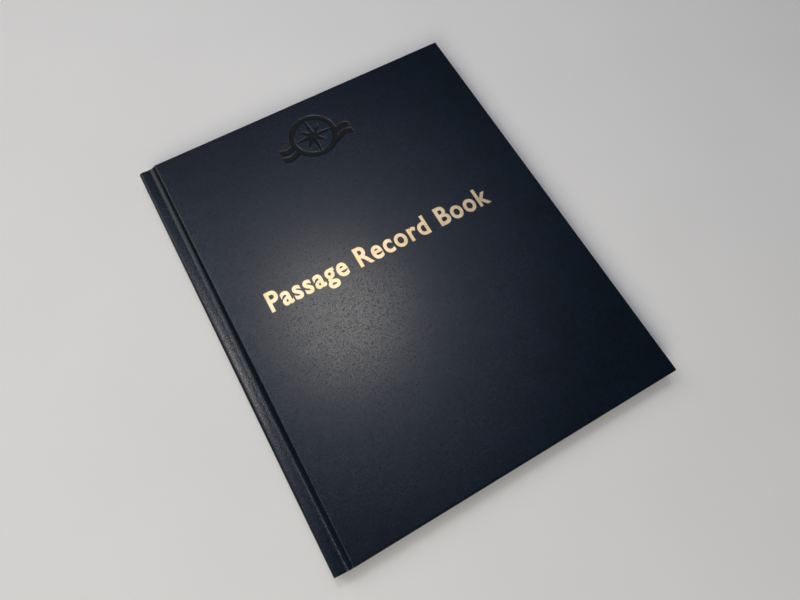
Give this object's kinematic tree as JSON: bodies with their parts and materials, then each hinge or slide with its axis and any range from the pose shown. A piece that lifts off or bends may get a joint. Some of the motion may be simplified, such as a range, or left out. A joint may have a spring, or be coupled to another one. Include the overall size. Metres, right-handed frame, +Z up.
{
  "type": "logbook",
  "caption": "Closed case-bound logbook with navy leatherette cover, grooved joints, sewn sections and turning leaves.",
  "frame": {"origin": "centre of the closed book's underside", "axes": "+X from the spine to the fore-edge, +Y from the tail to the head of the cover, +Z up out of the front cover"},
  "size_m": [0.176, 0.216, 0.0111],
  "materials": {
    "leatherette": "embossed leather-grain cover material, satin",
    "greyboard": "matt",
    "endpaper": "uncoated, matt",
    "log_paper": "uncoated, matt, ruled",
    "linen_thread": "waxed linen thread",
    "mull_gauze": "open gauze, glued",
    "kraft_paper": "matt",
    "band_cloth": "woven bead",
    "pigment_foil": "blind-stamped dark foil"
  },
  "bodies": {
    "back_cover": {"back_cover_cloth": "leatherette", "back_board": "greyboard", "back_pastedown": "endpaper", "back_flyleaf": "endpaper", "section_1": "log_paper", "section_2": "log_paper", "section_3": "log_paper", "section_4": "log_paper", "section_5": "log_paper", "sewing_thread": "linen_thread", "mull": "mull_gauze", "spine_lining": "kraft_paper", "headband": "band_cloth", "tailband": "band_cloth"},
    "spine": {"spine_cloth": "leatherette", "spine_stiffener": "greyboard"},
    "front_cover": {"front_cover_cloth": "leatherette", "front_board": "greyboard", "front_pastedown": "endpaper", "emblem_foil": "pigment_foil"},
    "front_flyleaf": {"front_flyleaf": "endpaper"},
    "title_leaf": {"title_leaf": "log_paper"},
    "log_leaf_1": {"log_leaf_1": "log_paper"},
    "log_leaf_2": {"log_leaf_2": "log_paper"},
    "log_leaf_3": {"log_leaf_3": "log_paper"},
    "log_leaf_4": {"log_leaf_4": "log_paper"}
  },
  "joints": [
    {"name": "front_joint", "type": "hinge", "parent": "spine", "child": "front_cover", "pos_m": [-0.0865, 0, 0.00867], "axis": [0, -1, 0], "range_deg": [0, 90]},
    {"name": "back_joint", "type": "hinge", "parent": "back_cover", "child": "spine", "pos_m": [-0.0865, 0, 0.0024], "axis": [0, -1, 0], "range_deg": [-1, 91]},
    {"name": "front_flyleaf_turn", "type": "hinge", "parent": "back_cover", "child": "front_flyleaf", "pos_m": [-0.0845, 0, 0.00842], "axis": [0, -1, 0], "range_deg": [-1, 184]},
    {"name": "title_leaf_turn", "type": "hinge", "parent": "back_cover", "child": "title_leaf", "pos_m": [-0.0845, 0, 0.00842], "axis": [0, -1, 0], "range_deg": [-1, 184]},
    {"name": "log_leaf_1_turn", "type": "hinge", "parent": "back_cover", "child": "log_leaf_1", "pos_m": [-0.0845, 0, 0.00842], "axis": [0, -1, 0], "range_deg": [-1, 184]},
    {"name": "log_leaf_2_turn", "type": "hinge", "parent": "back_cover", "child": "log_leaf_2", "pos_m": [-0.0845, 0, 0.00842], "axis": [0, -1, 0], "range_deg": [-1, 184]},
    {"name": "log_leaf_3_turn", "type": "hinge", "parent": "back_cover", "child": "log_leaf_3", "pos_m": [-0.0845, 0, 0.00842], "axis": [0, -1, 0], "range_deg": [-1, 184]},
    {"name": "log_leaf_4_turn", "type": "hinge", "parent": "back_cover", "child": "log_leaf_4", "pos_m": [-0.0845, 0, 0.00842], "axis": [0, -1, 0], "range_deg": [-1, 184]}
  ],
  "couplings": [
    {"joint": "back_joint", "follows": "front_joint", "ratio": 1},
    {"joint": "front_flyleaf_turn", "follows": "front_joint", "ratio": 2.02},
    {"joint": "title_leaf_turn", "follows": "front_joint", "ratio": 2.016},
    {"joint": "log_leaf_1_turn", "follows": "front_joint", "ratio": 2.012},
    {"joint": "log_leaf_2_turn", "follows": "front_joint", "ratio": 2.008},
    {"joint": "log_leaf_3_turn", "follows": "front_joint", "ratio": 2.004},
    {"joint": "log_leaf_4_turn", "follows": "front_joint", "ratio": 2}
  ]
}
